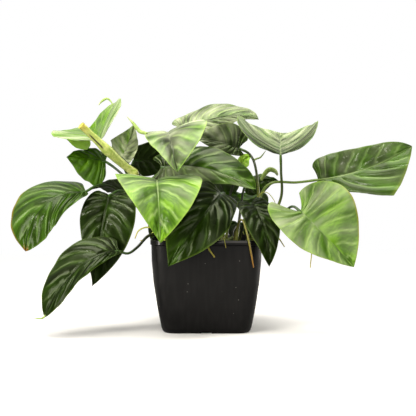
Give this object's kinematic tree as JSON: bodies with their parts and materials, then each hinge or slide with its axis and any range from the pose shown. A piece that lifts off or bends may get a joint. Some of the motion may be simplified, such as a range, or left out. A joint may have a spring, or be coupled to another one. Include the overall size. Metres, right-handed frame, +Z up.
{
  "type": "potted plant",
  "caption": "Leafy water plant with heart-shaped glossy leaves on long stalks, a cut flower stalk and roots, in a square black plastic nursery pot of soil.",
  "frame": {"origin": "middle of the pot's flat underside, on the ground", "axes": "+Z up, +X to the plant's right as seen from its front, and -Y out of its front"},
  "size_m": [0.4032, 0.229, 0.234],
  "materials": {
    "pot": "black injection-moulded plastic, satin, with faint upright streaks",
    "soil": "dark moist potting soil, matt",
    "stem": "green-brown creeping stem",
    "pale_stalk": "pale yellow-green cut flower stalk, satin",
    "root": "yellow-brown root, matt",
    "leaf_dark": "old leaf, dark green, glossy",
    "leaf_green": "grown leaf, mid green, glossy",
    "leaf_young": "young leaf, light green, satin",
    "leaf_lime": "youngest leaf, lime green, satin"
  },
  "bodies": {
    "root": {"pot": "pot", "soil": "soil", "creeping_stem": "stem", "cut_flower_stalk": "pale_stalk", "root_front_long": "root", "root_front_short": "root", "root_left": "root", "root_right": "root", "root_right_short": "root", "leaf_far_left": "leaf_green", "leaf_low_left": "leaf_dark", "leaf_dark_left": "leaf_dark", "leaf_behind_left": "leaf_dark", "leaf_front": "leaf_young", "leaf_upper": "leaf_green", "leaf_upright": "leaf_dark", "leaf_droop": "leaf_dark", "leaf_vee_left": "leaf_young", "leaf_bud_left": "leaf_lime", "leaf_vee_right": "leaf_green", "leaf_top": "leaf_dark", "leaf_dark_upper": "leaf_dark", "leaf_middle": "leaf_dark", "leaf_oval": "leaf_dark", "leaf_central": "leaf_dark", "leaf_right_dark": "leaf_dark", "leaf_right_front": "leaf_young", "leaf_far_right": "leaf_green", "leaf_small_right": "leaf_dark", "leaf_bud_right": "leaf_lime", "leaf_back_left": "leaf_green", "leaf_back_middle": "leaf_dark", "leaf_back_right": "leaf_green", "leaf_back_low": "leaf_dark", "leaf_back_low_right": "leaf_dark", "leaf_back_low_left": "leaf_dark"}
  },
  "joints": []
}
